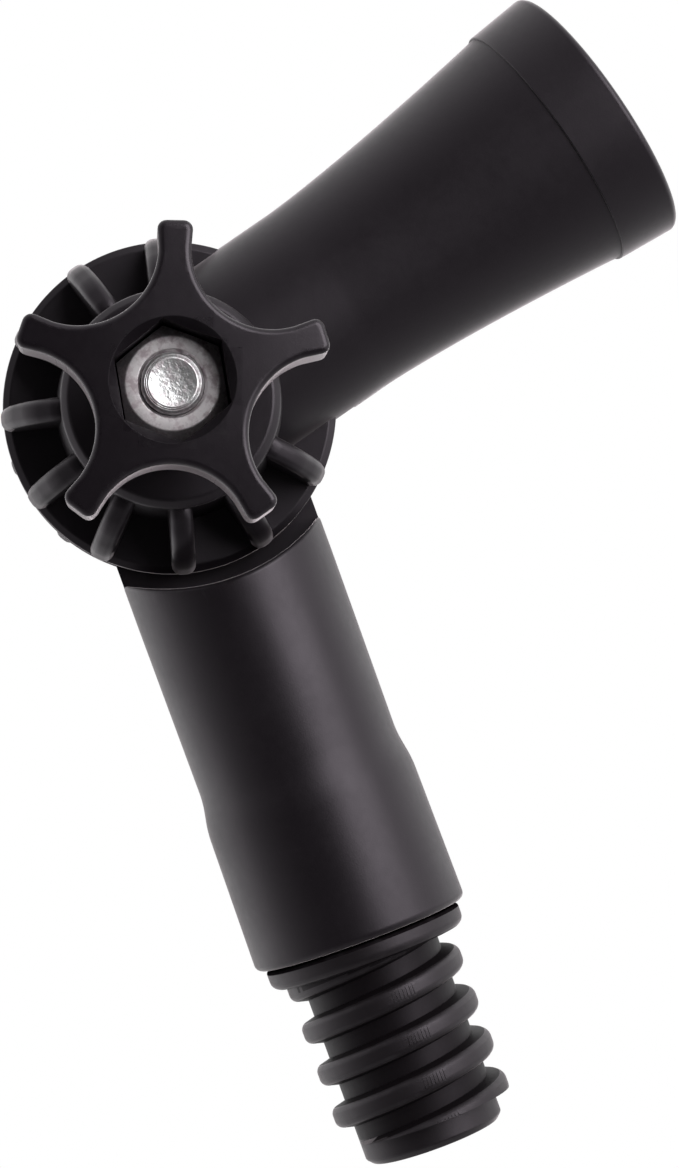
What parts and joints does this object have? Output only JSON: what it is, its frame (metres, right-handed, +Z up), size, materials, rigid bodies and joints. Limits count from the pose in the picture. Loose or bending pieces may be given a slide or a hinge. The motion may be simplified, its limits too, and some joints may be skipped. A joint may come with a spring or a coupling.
{
  "type": "pole angle adapter",
  "caption": "Knuckle joint for a threaded pole: a flared socket arm and a threaded arm whose toothed discs a star knob clamps.",
  "frame": {"origin": "centre of the socket's mouth plane", "axes": "+Z up the socket's axis to the pivot, the pivot axis along Y with the knob facing -Y, the threaded arm to -X and up at rest"},
  "size_m": [0.1257, 0.0594, 0.1078],
  "materials": {
    "arm_plastic": "satin black moulded plastic",
    "thread_plastic": "satin black moulded plastic",
    "knob_plastic": "satin black moulded plastic",
    "zinc_steel": "zinc plated",
    "spring_steel": "drawn wire"
  },
  "bodies": {
    "socket_body": {"socket_arm": "arm_plastic"},
    "clamp_stack": {"knob_washer": "zinc_steel", "release_spring": "spring_steel"},
    "thread_body": {"thread_arm": "arm_plastic", "threaded_tip": "thread_plastic", "pivot_bolt": "zinc_steel"},
    "knob_body": {"star_knob": "knob_plastic", "hex_nut": "zinc_steel"}
  },
  "joints": [
    {"name": "elbow_pivot", "type": "hinge", "parent": "socket_body", "child": "clamp_stack", "pos_m": [0, 0, 0.0708], "axis": [0, -1, 0], "range_deg": [-180, 30]},
    {"name": "clutch", "type": "slide", "parent": "clamp_stack", "child": "thread_body", "axis": [0, -1, 0], "range_m": [0, 0.00115], "deforming": ["release_spring"]},
    {"name": "knob_turn", "type": "hinge", "parent": "clamp_stack", "child": "knob_body", "pos_m": [0, 0, 0.0708], "axis": [0, 1, 0], "range_deg": [0, 332]}
  ],
  "couplings": [
    {"joint": "knob_turn", "follows": "clutch", "rad_per_m": 5026.5}
  ]
}
